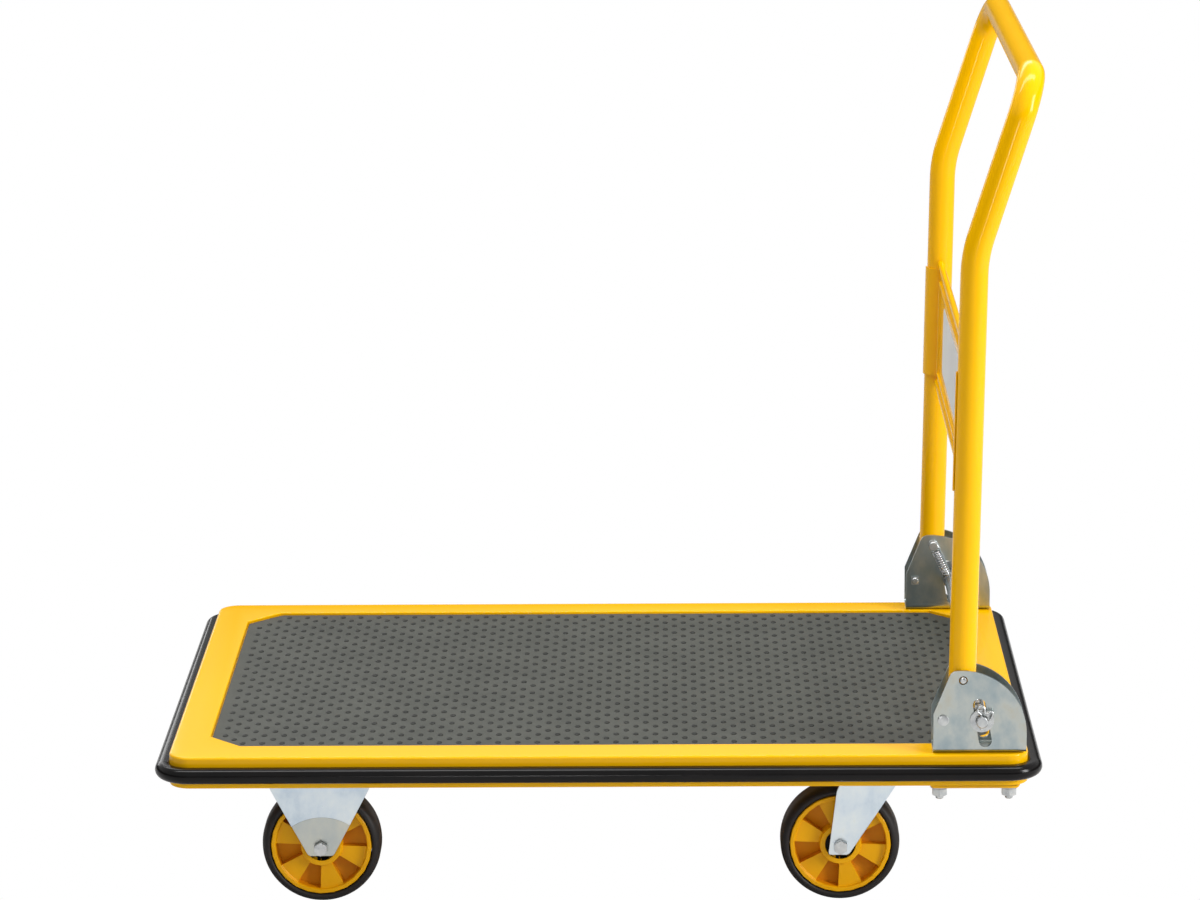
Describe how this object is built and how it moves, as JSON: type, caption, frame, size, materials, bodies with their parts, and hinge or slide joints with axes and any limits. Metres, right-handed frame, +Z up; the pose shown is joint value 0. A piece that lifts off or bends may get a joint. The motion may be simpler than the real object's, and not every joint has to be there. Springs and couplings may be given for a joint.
{
  "type": "folding platform cart",
  "caption": "Flat-deck hand truck with a fold-down tubular push handle, a foot-operated lock, a wrap-round bumper, an anti-slip mat, rigid front castors and swivel rear castors.",
  "frame": {"origin": "on the ground below the centre of the deck", "axes": "+X along the deck towards the handle, +Y across the deck, +Z up"},
  "size_m": [0.91, 0.61, 0.872],
  "materials": {
    "yellow_paint": "gloss powder coat",
    "zinc_plate": "blue-white zinc plating with a cloudy passivation bloom",
    "bright_steel": "bright zinc plating",
    "spring_steel": "bright spring wire",
    "bumper_rubber": "semi-gloss black moulding",
    "tyre_rubber": "matt black tread",
    "mat_vinyl": "dark grey vinyl with a raised anti-slip pattern",
    "yellow_hub": "moulded amber-yellow nylon"
  },
  "bodies": {
    "platform": {"deck_pan": "yellow_paint", "bumper": "bumper_rubber", "mat": "mat_vinyl", "front_cross_member": "yellow_paint", "rear_cross_member": "yellow_paint", "handle_cross_member": "yellow_paint", "bracket_near": "zinc_plate", "pivot_pin_near": "bright_steel", "stop_pin_near": "bright_steel", "bracket_bolt_near_inner": "bright_steel", "bracket_nut_near_inner": "bright_steel", "bracket_bolt_near_outer": "bright_steel", "bracket_nut_near_outer": "bright_steel", "lock_spring_near": "spring_steel", "bracket_far": "zinc_plate", "pivot_pin_far": "bright_steel", "stop_pin_far": "bright_steel", "bracket_bolt_far_inner": "bright_steel", "bracket_nut_far_inner": "bright_steel", "bracket_bolt_far_outer": "bright_steel", "bracket_nut_far_outer": "bright_steel", "lock_spring_far": "spring_steel", "fork_front_near": "zinc_plate", "axle_bolt_front_near": "bright_steel", "axle_nut_front_near": "bright_steel", "bush_front_near": "bright_steel", "fork_front_far": "zinc_plate", "axle_bolt_front_far": "bright_steel", "axle_nut_front_far": "bright_steel", "bush_front_far": "bright_steel", "race_rear_near": "zinc_plate", "top_plate_rear_near": "zinc_plate", "kingpin_rear_near": "bright_steel", "race_rear_far": "zinc_plate", "top_plate_rear_far": "zinc_plate", "kingpin_rear_far": "bright_steel"},
    "handle": {"handle_tube": "yellow_paint", "handle_panel": "yellow_paint"},
    "lock": {"lock_rod": "bright_steel", "lock_washer_near": "bright_steel", "lock_washer_far": "bright_steel", "split_pin_near": "bright_steel", "split_pin_far": "bright_steel"},
    "swivel_near": {"fork_rear_near": "zinc_plate", "axle_bolt_rear_near": "bright_steel", "axle_nut_rear_near": "bright_steel", "bush_rear_near": "bright_steel"},
    "swivel_far": {"fork_rear_far": "zinc_plate", "axle_bolt_rear_far": "bright_steel", "axle_nut_rear_far": "bright_steel", "bush_rear_far": "bright_steel"},
    "wheel_front_near": {"hub_front_near": "yellow_hub", "tyre_front_near": "tyre_rubber"},
    "wheel_front_far": {"hub_front_far": "yellow_hub", "tyre_front_far": "tyre_rubber"},
    "wheel_rear_near": {"hub_rear_near": "yellow_hub", "tyre_rear_near": "tyre_rubber"},
    "wheel_rear_far": {"hub_rear_far": "yellow_hub", "tyre_rear_far": "tyre_rubber"}
  },
  "joints": [
    {"name": "handle_fold", "type": "hinge", "parent": "platform", "child": "handle", "pos_m": [0.372, 0, 0.2455], "axis": [0, -1, 0], "range_deg": [0, 98]},
    {"name": "lock_press", "type": "slide", "parent": "platform", "child": "lock", "axis": [0.1686, 0, -0.9857], "range_m": [0, 0.02], "stiffness_N_per_m": 1500, "springref_m": -0.02, "deforming": ["lock_spring_near", "lock_spring_far"]},
    {"name": "castor_swivel_near", "type": "hinge", "parent": "platform", "child": "swivel_near", "pos_m": [0.28, -0.239, 0.13], "axis": [0, 0, 1], "continuous": true},
    {"name": "castor_swivel_far", "type": "hinge", "parent": "platform", "child": "swivel_far", "pos_m": [0.28, 0.239, 0.13], "axis": [0, 0, 1], "continuous": true},
    {"name": "wheel_spin_front_near", "type": "hinge", "parent": "platform", "child": "wheel_front_near", "pos_m": [-0.287, -0.239, 0.0615], "axis": [0, 1, 0], "continuous": true},
    {"name": "wheel_spin_front_far", "type": "hinge", "parent": "platform", "child": "wheel_front_far", "pos_m": [-0.287, 0.239, 0.0615], "axis": [0, 1, 0], "continuous": true},
    {"name": "wheel_spin_rear_near", "type": "hinge", "parent": "swivel_near", "child": "wheel_rear_near", "pos_m": [0.249, -0.239, 0.0615], "axis": [0, 1, 0], "continuous": true},
    {"name": "wheel_spin_rear_far", "type": "hinge", "parent": "swivel_far", "child": "wheel_rear_far", "pos_m": [0.249, 0.239, 0.0615], "axis": [0, 1, 0], "continuous": true}
  ]
}
